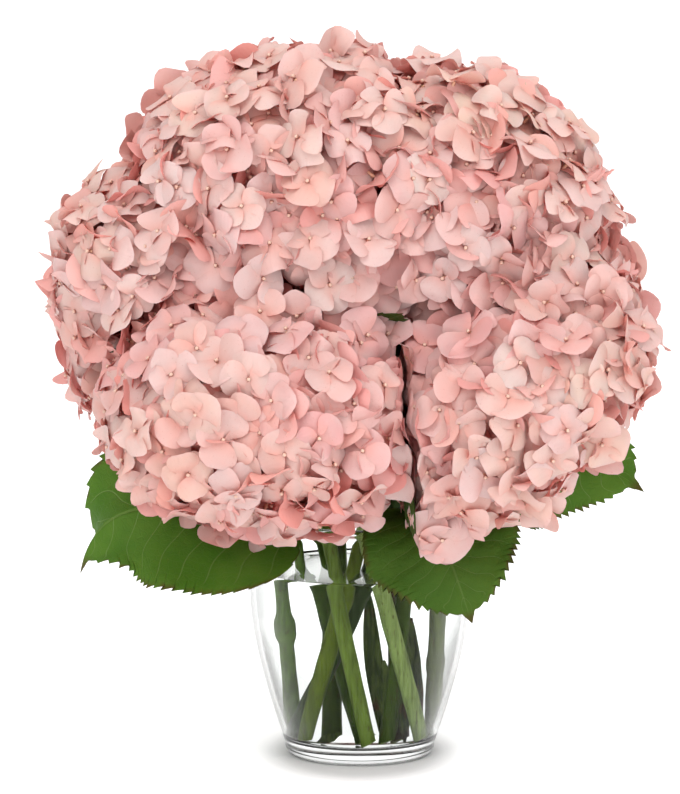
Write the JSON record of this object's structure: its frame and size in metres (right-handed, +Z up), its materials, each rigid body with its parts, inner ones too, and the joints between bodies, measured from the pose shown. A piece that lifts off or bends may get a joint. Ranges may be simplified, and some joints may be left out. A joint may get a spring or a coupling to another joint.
{
  "type": "hydrangeas in a vase",
  "caption": "Round bunch of pale pink hydrangea heads with serrated leaves, standing on crossed stems in water in a clear glass vase.",
  "frame": {"origin": "centre of the vase's flat underside, on the surface it stands on", "axes": "+Z up, -Y towards the front that the picture shows, +X to the right as seen from the front"},
  "size_m": [0.2988, 0.2753, 0.3593],
  "materials": {
    "petal": "soft matt pale pink petals",
    "leaf": "satin green leaf with paler veins",
    "stem": "smooth green stem",
    "glass": "clear polished glass",
    "water": "clear still water"
  },
  "bodies": {
    "root": {"vase": "glass", "water": "water", "stem_front_left": "stem", "stem_front_right": "stem", "stem_top_left": "stem", "stem_top_right": "stem", "stem_left_upper": "stem", "stem_left_lower": "stem", "stem_back_right": "stem", "stem_back_top": "stem", "stem_back_left": "stem", "stem_back_low": "stem", "leaf_left": "leaf", "leaf_front_right": "leaf", "leaf_right": "leaf", "leaf_back_left": "leaf", "leaf_back_right": "leaf", "leaf_left_crevice": "leaf", "leaf_centre_crevice": "leaf", "leaf_low_crevice": "leaf", "leaf_top_crevice": "leaf", "head_front_left": "petal", "head_front_right": "petal", "head_top_left": "petal", "head_top_right": "petal", "head_left_upper": "petal", "head_left_lower": "petal", "head_back_right": "petal", "head_back_top": "petal", "head_back_left": "petal", "head_back_low": "petal"}
  },
  "joints": []
}
